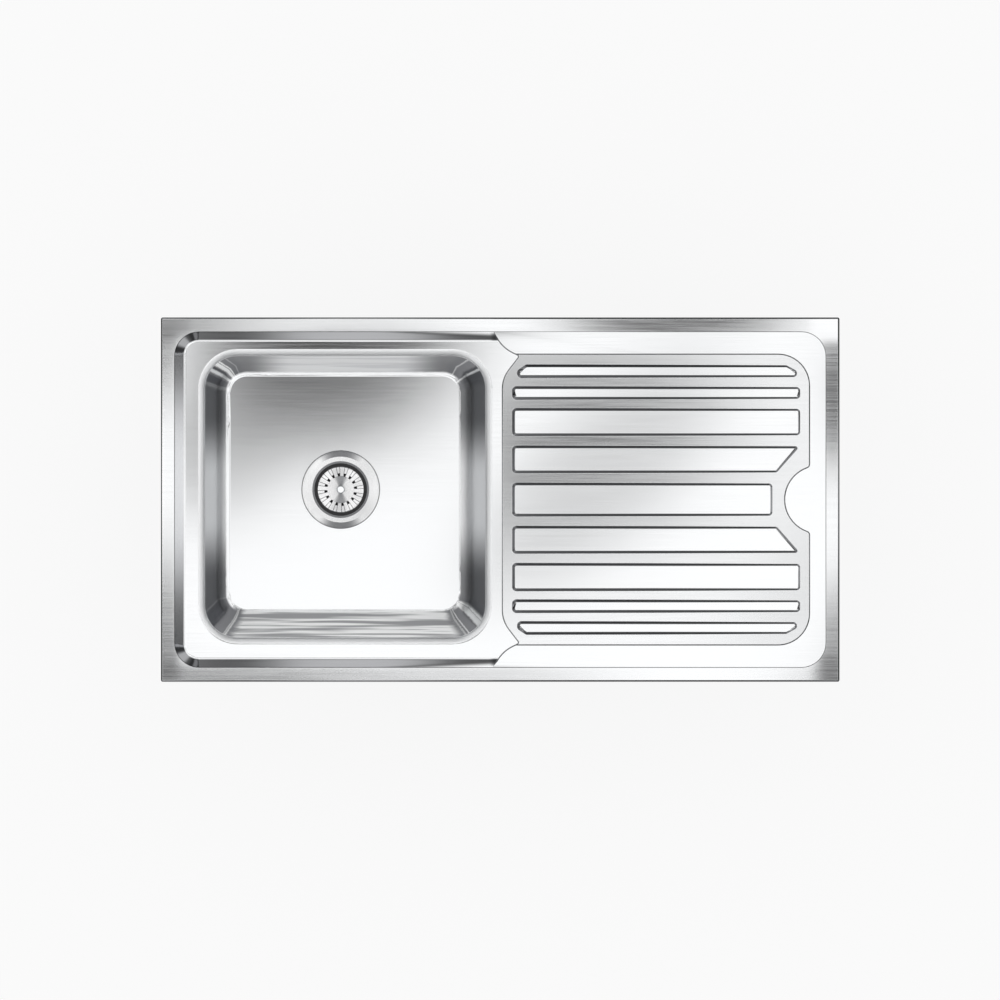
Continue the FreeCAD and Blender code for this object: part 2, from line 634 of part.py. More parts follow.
def make_stopper_nut():
    bore = POST_RADIUS + THREAD_PLAY
    nut = turned([(bore, -STOPPER_BOTTOM), (bore, -STOPPER_BOTTOM - STOPPER_NUT_HEIGHT),
                  (STOPPER_NUT_RADIUS, -STOPPER_BOTTOM - STOPPER_NUT_HEIGHT),
                  (STOPPER_NUT_RADIUS, -STOPPER_BOTTOM)], DRAIN_X, DRAIN_Y, FLOOR_Z)
    flats = hexagon(STOPPER_NUT_RADIUS, FLOOR_Z - STOPPER_BOTTOM - STOPPER_NUT_HEIGHT, STOPPER_NUT_HEIGHT)
    flats.translate(V(DRAIN_X, DRAIN_Y, 0))
    return nut.common(flats)


def hexagon(radius, z, height):
    """Six-sided prism on the Z axis, radius to its corners."""
    points = [V(radius * math.cos(math.radians(60 * i)), radius * math.sin(math.radians(60 * i)), z)
              for i in range(7)]
    return Part.Face(Part.makePolygon(points)).extrude(V(0, 0, height))


# ---- fixing clips: drawn on the Z axis with the rim towards +Y, then placed ----
LEDGE_BACK_LINE = (LEDGE_Y + BOWL_BACK + BOWL_ROLL) / 2
LEDGE_FRONT_LINE = (-LEDGE_Y + BOWL_FRONT - BOWL_ROLL) / 2
LEDGE_LEFT_LINE = (LEDGE_LEFT + BOWL_LEFT - BOWL_ROLL) / 2


def clip_places():
    """Where each clip stands: x, y, turn in degrees, and the height of the sheet above it."""
    places = []
    for y, turn in ((LEDGE_BACK_LINE, 0), (LEDGE_FRONT_LINE, 180)):
        for x in CLIPS_ALONG:
            sheet_z = LEDGE_Z if x < TRAY_LEFT else SHOULDER_Z
            places.append((x, y, turn, sheet_z - SHEET))
    places.append((LEDGE_LEFT_LINE, 0, 90, LEDGE_Z - SHEET))
    places.append((WELL_X - CLIP_END_INSET, 0, -90, SHOULDER_Z - SHEET))
    return places


def placed(shape, place):
    x, y, turn, _ = place
    turned_shape = shape.rotated(V(0, 0, 0), V(0, 0, 1), turn)
    turned_shape.translate(V(x, y, 0))
    return turned_shape


def clip_bracket(sheet_z):
    """U-shaped bracket, welded under the sheet by its two legs."""
    outside = Part.makeBox(BRACKET_LENGTH, BRACKET_WIDTH, sheet_z + BRACKET_BOTTOM,
                           V(-BRACKET_LENGTH / 2, -BRACKET_WIDTH / 2, -BRACKET_BOTTOM))
    inside = Part.makeBox(BRACKET_LENGTH - 2 * BRACKET_SHEET, BRACKET_WIDTH + 2, sheet_z + BRACKET_BOTTOM,
                          V(BRACKET_SHEET - BRACKET_LENGTH / 2, -BRACKET_WIDTH / 2 - 1,
                            BRACKET_SHEET - BRACKET_BOTTOM))
    hole = Part.makeCylinder(SCREW_RADIUS + RUNNING_PLAY, 4 * BRACKET_SHEET,
                             V(0, 0, -BRACKET_BOTTOM - BRACKET_SHEET))
    return outside.cut([inside, hole])


def clip_nut():
    corner_radius = CLIP_NUT_FLATS / math.sqrt(3)
    bottom = -BRACKET_BOTTOM - CLIP_NUT_HEIGHT
    bore = Part.makeCylinder(SCREW_RADIUS + THREAD_PLAY, 3 * CLIP_NUT_HEIGHT, V(0, 0, bottom - 2))
    return hexagon(corner_radius, bottom, CLIP_NUT_HEIGHT).cut(bore)


CLAW_BOTTOM = CLAW_TOP + CLAW_SHEET
HEAD_TOP = CLAW_BOTTOM + CLIP_WASHER


def clip_washer():
    disc = Part.makeCylinder(CLIP_WASHER_RADIUS, CLIP_WASHER, V(0, 0, -HEAD_TOP))
    return disc.cut(Part.makeCylinder(SCREW_RADIUS + RUNNING_PLAY, 3 * CLIP_WASHER,
                                      V(0, 0, -HEAD_TOP - CLIP_WASHER)))


def clip_screw():
    shank = Part.makeCylinder(SCREW_RADIUS, HEAD_TOP - SCREW_TIP + 1.0, V(0, 0, -HEAD_TOP - 1.0))
    head = Part.makeCylinder(SCREW_HEAD_RADIUS, SCREW_HEAD_HEIGHT, V(0, 0, -HEAD_TOP - SCREW_HEAD_HEIGHT))
    slot = Part.makeBox(4 * SCREW_HEAD_RADIUS, SCREW_SLOT_WIDTH, 2 * SCREW_SLOT_DEPTH,
                        V(-2 * SCREW_HEAD_RADIUS, -SCREW_SLOT_WIDTH / 2,
                          -HEAD_TOP - SCREW_HEAD_HEIGHT - SCREW_SLOT_DEPTH))
    return head.fuse(shank).cut(slot).removeSplitter()


def clip_claw():
    """Claw in its parked place along the rim; its toothed tip turns up to bite the worktop."""
    plate = Part.makeBox(CLAW_REACH + CLAW_HEEL, CLAW_WIDTH, CLAW_SHEET,
                         V(-CLAW_HEEL, -CLAW_WIDTH / 2, -CLAW_BOTTOM))
    corners = [edge for edge in plate.Edges
               if edge.BoundBox.ZLength > 1 and edge.BoundBox.XMax < 0]
    plate = plate.makeFillet(CLAW_WIDTH / 2 - 0.5, corners)
    tip = Part.makeBox(CLAW_SHEET, CLAW_WIDTH, CLAW_TIP, V(CLAW_REACH - CLAW_SHEET, -CLAW_WIDTH / 2, -CLAW_TOP))
    tooth_gap = CLAW_WIDTH / 7
    gaps = [Part.makeBox(2 * CLAW_SHEET, tooth_gap, CLAW_SHEET,
                         V(CLAW_REACH - 1.5 * CLAW_SHEET, -CLAW_WIDTH / 2 + (2 * i + 1) * tooth_gap,
                           -CLAW_TOP + CLAW_TIP - CLAW_SHEET / 2)) for i in range(3)]
    hole = Part.makeCylinder(SCREW_RADIUS + RUNNING_PLAY, 3 * CLAW_SHEET, V(0, 0, -CLAW_BOTTOM - CLAW_SHEET))
    return plate.fuse(tip).cut(gaps + [hole]).removeSplitter()


def make_all():
    """Every sub-part by name."""
    places = clip_places()
    parts = {
        "sink_deck": make_sink_deck(),
        "bowl": make_bowl(),
        "rim_seal": make_rim_seal(),
        "bowl_floor_pad": make_bowl_floor_pad(),
        "drainer_pad": make_drainer_pad(),
        "strainer_body": make_strainer_body(),
        "spring_catch": make_spring_catch(),
        "flange_gasket": make_flange_gasket(),
        "underside_gasket": make_underside_gasket(),
        "friction_ring": make_friction_ring(),
        "locknut": make_locknut(),
        "tailpiece_washer": make_tailpiece_washer(),
        "tailpiece": make_tailpiece(),
        "coupling_nut": make_coupling_nut(),
        "basket": make_basket(),
        "basket_seal": make_basket_seal(),
        "basket_post": make_basket_post(),
        "basket_knob": make_basket_knob(),
        "stopper_seal": make_stopper_seal(),
        "stopper_nut": make_stopper_nut(),
        "clip_brackets": Part.makeCompound([placed(clip_bracket(place[3]), place) for place in places]),
        "clip_nuts": Part.makeCompound([placed(clip_nut(), place) for place in places]),
    }
    for number, place in enumerate(places, 1):
        parts[f"clip_washer_{number}"] = placed(clip_washer(), place)
        parts[f"clip_screw_{number}"] = placed(clip_screw(), place)
        parts[f"clip_claw_{number}"] = placed(clip_claw(), place)
    return parts


os.makedirs("parts", exist_ok=True)
for name, shape in make_all().items():
    shape.exportStep(f"parts/{name}.step")
    print(name, len(shape.Solids), round(shape.Volume), shape.isValid())
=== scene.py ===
import json
import math

import bmesh
import bpy
from mathutils import Matrix, Vector


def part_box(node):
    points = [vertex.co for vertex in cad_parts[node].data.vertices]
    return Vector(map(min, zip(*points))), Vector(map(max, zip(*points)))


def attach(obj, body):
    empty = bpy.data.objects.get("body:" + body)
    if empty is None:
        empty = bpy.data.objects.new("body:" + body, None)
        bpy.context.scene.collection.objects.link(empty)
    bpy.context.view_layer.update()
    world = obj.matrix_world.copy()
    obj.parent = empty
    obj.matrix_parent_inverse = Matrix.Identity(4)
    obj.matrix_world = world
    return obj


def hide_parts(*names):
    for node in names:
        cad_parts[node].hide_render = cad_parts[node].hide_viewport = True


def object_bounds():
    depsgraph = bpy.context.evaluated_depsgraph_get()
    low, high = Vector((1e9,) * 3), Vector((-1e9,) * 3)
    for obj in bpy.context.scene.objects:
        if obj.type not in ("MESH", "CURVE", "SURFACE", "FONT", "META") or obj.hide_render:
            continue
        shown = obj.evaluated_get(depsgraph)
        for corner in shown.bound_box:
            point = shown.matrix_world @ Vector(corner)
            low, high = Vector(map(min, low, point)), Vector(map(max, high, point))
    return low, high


# Inset kitchen sink with a drainboard, seen from straight above on a pale floor.
# Metres throughout, except where a name ends in _MM or _DEG.

bpy.context.scene.view_settings.view_transform = "Standard"
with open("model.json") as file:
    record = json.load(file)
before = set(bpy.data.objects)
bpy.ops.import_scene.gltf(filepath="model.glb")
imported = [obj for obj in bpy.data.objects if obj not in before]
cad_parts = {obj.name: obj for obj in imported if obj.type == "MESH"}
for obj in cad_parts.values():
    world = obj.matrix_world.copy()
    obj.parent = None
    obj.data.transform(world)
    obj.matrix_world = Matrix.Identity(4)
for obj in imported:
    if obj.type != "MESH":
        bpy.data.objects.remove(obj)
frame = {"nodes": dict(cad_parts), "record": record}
NODES = frame["nodes"]
CAD_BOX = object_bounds()
MM = 0.001

_, DECK_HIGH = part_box("sink_deck")
BOWL_LOW, BOWL_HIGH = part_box("bowl")
FLANGE_LOW, FLANGE_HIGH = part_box("strainer_body")
DRAIN = Vector(((FLANGE_LOW.x + FLANGE_HIGH.x) / 2, (FLANGE_LOW.y + FLANGE_HIGH.y) / 2, 0))
FLANGE_RADIUS = FLANGE_HIGH.x - DRAIN.x
RIM_TOP = DECK_HIGH.z
LEDGE_Z = BOWL_HIGH.z
BOWL_MIDDLE = (BOWL_LOW + BOWL_HIGH) / 2
BOWL_HALF = (BOWL_HIGH - BOWL_LOW) / 2
SEAM_CORNER = 0.058              # corner radius of the bowl's flange
RIM_SIDE = 0.019                 # width of the flat rim along the ends
RIM_LONG = 0.020                 # and along front and back
WELL_X = DECK_HIGH.x - RIM_SIDE
WELL_Y = DECK_HIGH.y - RIM_LONG


# ---- small tools ----
def linear(colour):
    """A hex sRGB colour as linear RGBA."""
    parts = [int(colour[i:i + 2], 16) / 255 for i in (1, 3, 5)]
    return tuple(p / 12.92 if p <= 0.04045 else ((p + 0.055) / 1.055) ** 2.4 for p in parts) + (1.0,)


def plug(tree, value, socket):
    """Gives a socket a number, a hex colour, another socket, or what a node makes."""
    if isinstance(value, bpy.types.Node):
        value = next(result for result in value.outputs if result.enabled)
    if isinstance(value, bpy.types.NodeSocket):
        tree.links.new(value, socket)
    else:
        socket.default_value = linear(value) if isinstance(value, str) else value


def add(tree, kind, *inputs, **settings):
    """A node with its settings; its inputs come in their own order, or by name in a dict."""
    node = tree.nodes.new("ShaderNode" + kind)
    for name, value in settings.items():
        setattr(node, name, value)
    sockets = [socket for socket in node.inputs if socket.enabled]
    for number, value in enumerate(inputs):
        named = value if isinstance(value, dict) else {sockets[number].name: value}
        for name, part in named.items():
            plug(tree, part, node.inputs[name] if isinstance(value, dict) else sockets[number])
    return node


def new_material(name, **surface):
    """A material with a Principled surface whose sockets are set, its tree and its shader."""
    material = bpy.data.materials.new(name)
    material.use_nodes = True
    shader = material.node_tree.nodes["Principled BSDF"]
    for socket, value in surface.items():
        shader.inputs[socket.replace("_", " ")].default_value = value
    return material, material.node_tree, shader


EASED = {"interpolation_type": "SMOOTHSTEP"}  # makes a MapRange start and end softly
NOISE_SPAN = (0.3, 0.7)          # nearly all of a noise's values lie between these


def grain(tree, size_mm, stretch=(1.0, 1.0, 1.0), detail=2.0):
    """A pattern of soft grains of a real size, longer along the axes that are stretched."""
    place = add(tree, "TexCoord").outputs["Object"]
    scale = [1 / (size_mm * MM * s) for s in stretch]
    spread = add(tree, "Mapping", {"Vector": place, "Scale": scale})
    return add(tree, "TexNoise", {"Vector": spread, "Scale": 1.0, "Detail": detail})


def finished(bm, name, body, material, slot, *nodes):
    """An object from a bmesh that rides on a body and stands for CAD nodes."""
    mesh = bpy.data.meshes.new(name)
    bm.to_mesh(mesh)
    bm.free()
    mesh.materials.append(material)
    piece = bpy.data.objects.new(name, mesh)
    bpy.context.scene.collection.objects.link(piece)
    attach(piece, body)
    if nodes:
        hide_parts(*nodes)
    return piece


# ---- deck: the pressed sheet with its bends rounded ----
FLAT_ANGLE = math.radians(0.4)   # facets that meet at less than this are one flat
BEND_ANGLE = math.radians(15)    # and those that meet at more are a bend
WALL_Z = 0.93                    # a wall's normal rises less than this
BAND_Z = 0.8                     # and the sloped band's more than this
LIP_START = 0.014                # the turned-down lip starts this far out of the well
TALL_MM = 1.4                    # walls over this height get the wide bends
BENDS_MM = {"edge": 0.5, "rim": 0.48, "wall": 1.0, "band": 2.2}
SPLITS_X = (BOWL_MIDDLE.x, DECK_HIGH.x * 0.45)  # through the bowl's opening and the drainboard


def bend_kind(edge):
    """Which of the deck's bends an edge is, from the walls beside it."""
    walls = [face for face in edge.link_faces if abs(face.normal.z) < WALL_Z]
    heights = [[corner.co.z for corner in wall.verts] for wall in walls]
    lowest = min(max(height) - min(height) for height in heights)
    place = edge.verts[0].co
    if abs(place.x) > WELL_X + LIP_START or abs(place.y) > WELL_Y + LIP_START:
        return "edge"
    if lowest < TALL_MM * MM:
        return "rim"
    if all(abs(wall.normal.z) > BAND_Z for wall in walls):
        return "band"
    return "wall"


def cut_through(bm, place, normal):
    """Cuts every flat along a plane, so that none is left with a hole in it."""
    made = bmesh.ops.bisect_plane(bm, geom=bm.verts[:] + bm.edges[:] + bm.faces[:], dist=1e-7,
                                  plane_co=place, plane_no=normal)
    for part in made["geom_cut"]:
        if isinstance(part, bmesh.types.BMEdge):
            part.seam = True


def make_deck_skin(material):
    bm = bmesh.new()
    bm.from_mesh(NODES["sink_deck"].data)
    bmesh.ops.remove_doubles(bm, verts=bm.verts, dist=1e-6)
    for x in SPLITS_X:
        cut_through(bm, (x, 0, 0), (1, 0, 0))
    bmesh.ops.dissolve_limit(bm, angle_limit=FLAT_ANGLE, verts=bm.verts, edges=bm.edges,
                             delimit={"SEAM"})
    kinds = bm.edges.layers.int.new("bend")
    for edge in bm.edges:
        if len(edge.link_faces) == 2 and edge.calc_face_angle(0) > BEND_ANGLE:
            edge[kinds] = 1 + list(BENDS_MM).index(bend_kind(edge))
    for number, size in enumerate(BENDS_MM.values(), start=1):
        bends = [edge for edge in bm.edges if edge[kinds] == number]
        made = bmesh.ops.bevel(bm, geom=bends, offset=size * MM, offset_type="OFFSET", affect="EDGES",
                               segments=4, profile=0.5, material=-1)
        for edge in made["edges"]:
            edge[kinds] = 0
    for face in bm.faces:
        face.smooth = True
    piece = finished(bm, "sink_deck_skin", "root", material, "deck_steel", "sink_deck")
    weights = piece.modifiers.new("flat faces lead", "WEIGHTED_NORMAL")
    weights.mode = "FACE_AREA"
    weights.weight = 80
    weights.keep_sharp = False
    return piece


WELD_HALF = 1.5 * MM             # how far the weld reaches to each side of the seam
WELD_RISE = 0.02 * MM            # and how far it stands over the ledge


def make_ground_weld(material):
    """The weld round the bowl, ground flush with the ledge."""
    bm = bmesh.new()
    bmesh.ops.create_grid(bm, x_segments=1, y_segments=1, size=1.0)
    bmesh.ops.scale(bm, vec=(BOWL_HALF.x + WELD_HALF, BOWL_HALF.y + WELD_HALF, 1), verts=bm.verts)
    bmesh.ops.bevel(bm, geom=bm.verts, offset=SEAM_CORNER + WELD_HALF, offset_type="OFFSET",
                    affect="VERTICES", segments=24, profile=0.5, material=-1)
    bmesh.ops.translate(bm, vec=(BOWL_MIDDLE.x, BOWL_MIDDLE.y, LEDGE_Z + WELD_RISE), verts=bm.verts)
    middle = list(bm.faces)
    bmesh.ops.inset_region(bm, faces=middle, thickness=2 * WELD_HALF, depth=0, use_even_offset=True,
                           use_boundary=True)
    bmesh.ops.delete(bm, geom=middle, context="FACES")
    return finished(bm, "ground_weld", "root", material, "deck_steel")


# ---- steels ----
def place_and_slope(tree):
    """Position along x, y and z, and how far the surface faces up: 1 when flat, 0 when upright."""
    place = add(tree, "TexCoord").outputs
    at = add(tree, "SeparateXYZ", place["Object"]).outputs
    slope = add(tree, "SeparateXYZ", place["Normal"]).outputs["Z"]
    return at["X"], at["Y"], at["Z"], slope


def facing_way(tree):
    """The level direction that the surface faces, as an arrow of length 1."""
    level = add(tree, "VectorMath", add(tree, "TexCoord").outputs["Normal"], (1, 1, 0),
                operation="MULTIPLY")
    return add(tree, "VectorMath", level, operation="NORMALIZE")


def slantness(tree, way):
    """How far a level arrow points between x and y: 0 along either, 0.5 halfway between them."""
    way = add(tree, "SeparateXYZ", way).outputs
    both = add(tree, "Math", way["X"], way["Y"], operation="MULTIPLY")
    return add(tree, "Math", both, operation="ABSOLUTE")


DEAD_FLAT = (0.9990, 0.9998)     # slopes from which a face is taken as flat, whatever is beside it


def leaning(tree, *leans):
    """The surface's normal, leant by each vector as far as its share says."""
    shape = add(tree, "NewGeometry").outputs
    up = add(tree, "SeparateXYZ", shape["True Normal"]).outputs["Z"]
    flat = add(tree, "MapRange", up, *DEAD_FLAT, **EASED)
    normal = add(tree, "Mix", flat, shape["Normal"], shape["True Normal"], data_type="VECTOR")
    for share, lean in leans:
        part = add(tree, "VectorMath", {"Vector": lean, "Scale": share}, operation="SCALE")
        normal = add(tree, "VectorMath", normal, part, operation="ADD")
    return add(tree, "VectorMath", normal, operation="NORMALIZE")


WAVE_MM = 90                     # slow waves that rolling leaves in the sheet
WAVE_RISE = 0.05 * MM
POLISH_MM = 1.5                  # polishing lines, drawn about ten times too wide so that they show
POLISH_STRETCH = (60, 1, 1)      # and this much longer than wide, along x

# Where a mark on the deck starts and where it is full: places, heights and slopes.
RIM_FACE_Z = (RIM_TOP - 0.3 * MM, RIM_TOP - 0.1 * MM)
RIM_FALL_X = (WELL_X - 30 * MM, WELL_X + 8 * MM)
RIM_FALL_Y = (WELL_Y - 25 * MM, WELL_Y + 8 * MM)
TRAY_UNDER_Z = (1.6 * MM, 1.2 * MM)
TRAY_OVER_Z = (-2.8 * MM, -2.4 * MM)
TRAY_FROM_X = (0.0, 2 * MM)
DRAINER_FROM_X = (-16 * MM, -8 * MM)
BEND_SLOPE = (0.98, 0.86)
CREASE_SLOPE = (0.9985, 0.93)
BAND_SLOPE = (0.96, 0.88)
BAND_CORNER_START = (0.002, 0.03)
BAND_CORNER_END = (0.46, 0.34)
STEP_Z = (RIM_TOP - 1.4 * MM, RIM_TOP - 1.1 * MM)
STEP_SLOPE = (0.9995, 0.97)
STEP_WITHIN = (3 * MM, 2 * MM)   # past the well's sides
LIP_WITHIN = (-1.7 * MM, -1.2 * MM)  # of the deck's outline

RIM_FALL = 0.030                 # the rim falls this much outwards
TRAY_FALL = (-0.088, 0.030, 0.0)  # and the drainboard's channels towards the bowl
TRAY_DULLER = 0.05               # the channels are this much rougher than the rest


def make_deck_steel():
    """Cold-rolled stainless sheet, polished bright: mirror-like, with painted shade on its bends,
    creases, rim step and lip.
    """
    material, tree, shader = new_material("polished stainless steel sheet", Metallic=1.0)
    x, y, z, slope = place_and_slope(tree)
    out_x = add(tree, "Math", x, operation="ABSOLUTE")
    out_y = add(tree, "Math", y, operation="ABSOLUTE")

    # the rim falls a little outwards, the channels towards the bowl
    on_rim = add(tree, "MapRange", z, *RIM_FACE_Z, **EASED)
    falls = []
    for place, out, reach in ((x, out_x, RIM_FALL_X), (y, out_y, RIM_FALL_Y)):
        share = add(tree, "Math", on_rim, add(tree, "MapRange", out, *reach, **EASED),
                    operation="MULTIPLY")
        falls.append(add(tree, "Math", share, add(tree, "Math", place, operation="SIGN"),
                         operation="MULTIPLY"))
    in_tray = add(tree, "Math", add(tree, "MapRange", z, *TRAY_UNDER_Z, **EASED),
                  add(tree, "MapRange", z, *TRAY_OVER_Z, **EASED), operation="MULTIPLY")
    in_tray = add(tree, "Math", in_tray, add(tree, "MapRange", x, *TRAY_FROM_X, **EASED),
                  operation="MULTIPLY")
    normal = leaning(tree, (falls[0], (RIM_FALL, 0, 0)), (falls[1], (0, RIM_FALL, 0)),
                     (in_tray, TRAY_FALL))
    waves = add(tree, "Bump", {"Height": grain(tree, WAVE_MM), "Distance": WAVE_RISE,
                               "Normal": normal})
    plug(tree, waves, shader.inputs["Normal"])
    lines = grain(tree, POLISH_MM, stretch=POLISH_STRETCH)
    polish = add(tree, "MapRange", lines, *NOISE_SPAN, 0.085, 0.12, **EASED)
    plug(tree, add(tree, "Math", in_tray, TRAY_DULLER, polish, operation="MULTIPLY_ADD"),
         shader.inputs["Roughness"])

    # painted shade: every bend a little darker, and the creases beside the drainboard's ribs darker
    # still
    bend_shade = add(tree, "MapRange", slope, *BEND_SLOPE, **EASED)
    colour = add(tree, "Mix", bend_shade, "#ECEDEE", "#A6A7A9", data_type="RGBA")
    drainer = add(tree, "MapRange", x, *DRAINER_FROM_X, **EASED)
    crease_shade = add(tree, "Math", add(tree, "MapRange", slope, *CREASE_SLOPE, **EASED), drainer,
                 operation="MULTIPLY")
    colour = add(tree, "Mix", crease_shade, colour, "#77787A", data_type="RGBA")

    # painted shade: darker arcs where the sloped band turns its corners, on the bowl's side only
    turn = slantness(tree, facing_way(tree))
    band_corner_shade = add(tree, "Math", add(tree, "MapRange", turn, *BAND_CORNER_START, **EASED),
              add(tree, "MapRange", turn, *BAND_CORNER_END, **EASED), operation="MULTIPLY")
    band_corner_shade = add(tree, "Math", band_corner_shade, add(tree, "MapRange", slope, *BAND_SLOPE, **EASED),
              operation="MULTIPLY")
    band_corner_shade = add(tree, "Math", band_corner_shade, add(tree, "MapRange", drainer, 1.0, 0.0, **EASED),
              operation="MULTIPLY")
    colour = add(tree, "Mix", band_corner_shade, colour, "#6A6B6D", data_type="RGBA")

    # painted shade: a dark line on the step down from the rim into the well
    rim_step_shade = add(tree, "Math", add(tree, "MapRange", z, *STEP_Z, **EASED),
               add(tree, "MapRange", slope, *STEP_SLOPE, **EASED), operation="MULTIPLY")
    start, end = STEP_WITHIN
    within = add(tree, "Math", add(tree, "MapRange", out_x, WELL_X + start, WELL_X + end, **EASED),
                 add(tree, "MapRange", out_y, WELL_Y + start, WELL_Y + end, **EASED),
                 operation="MULTIPLY")
    rim_step_shade = add(tree, "Math", rim_step_shade, within, operation="MULTIPLY")
    colour = add(tree, "Mix", rim_step_shade, colour, "#38393B", data_type="RGBA")

    # painted shade: a dark line on the turned-down lip
    past = add(tree, "Math", add(tree, "Math", out_x, DECK_HIGH.x, operation="SUBTRACT"),
               add(tree, "Math", out_y, DECK_HIGH.y, operation="SUBTRACT"), operation="MAXIMUM")
    lip_shade = add(tree, "MapRange", past, *LIP_WITHIN, **EASED)
    colour = add(tree, "Mix", lip_shade, colour, "#3A3B3D", data_type="RGBA")
    plug(tree, colour, shader.inputs["Base Color"])
    return material


# The same for the bowl, with the direction that a wall faces and distances from the bowl's middle.
FACES_PLUS = (0.6, 0.95)
FACES_MINUS = (-0.6, -0.95)
FACES_INWARD = (-5 * MM, 5 * MM)
FACES_OUTWARD = (5 * MM, -5 * MM)
CORNER_WALL = (0.06, 0.36)
SIDES_BRIGHTEN = (0.115, 0.03)
BACK_DARKENS = (0.075, 0.14)
WALL_SLOPE = (0.975, 0.90)
SHARP_WALL_SLOPE = (0.9996, 0.985)  # the right and front walls start with a sharper line
SATIN_FROM_Z = (-11 * MM, -15 * MM)
ROLL_Z = (-17 * MM, -13 * MM)
ROLL_SLOPE = (0.999, 0.97)
FLOOR_Z = (-172 * MM, -160 * MM)
FLOOR_SLOPE = (0.9998, 0.995)

STREAK_MM = 5                    # painted light streaks on the walls, a painted reflection
STREAK_STRETCH = (40, 1, 9)
STREAK_SPAN = (0.42, 0.58)
CORNER_STREAK_SCALE = 3.2                 # fineness of the painted reflection streaks that run down the corners
CORNER_STREAK_SPAN = (0.54, 0.62)
MILL_MM = 12                     # clouds in the raw mill finish outside
MILL_STRETCH = (6, 6, 1)
SATIN_DULLER = 0.35              # satin walls are this much rougher than the polish
WALL_LIFT = (0, 0, 6.0)          # back and front walls lean up to catch the ceiling


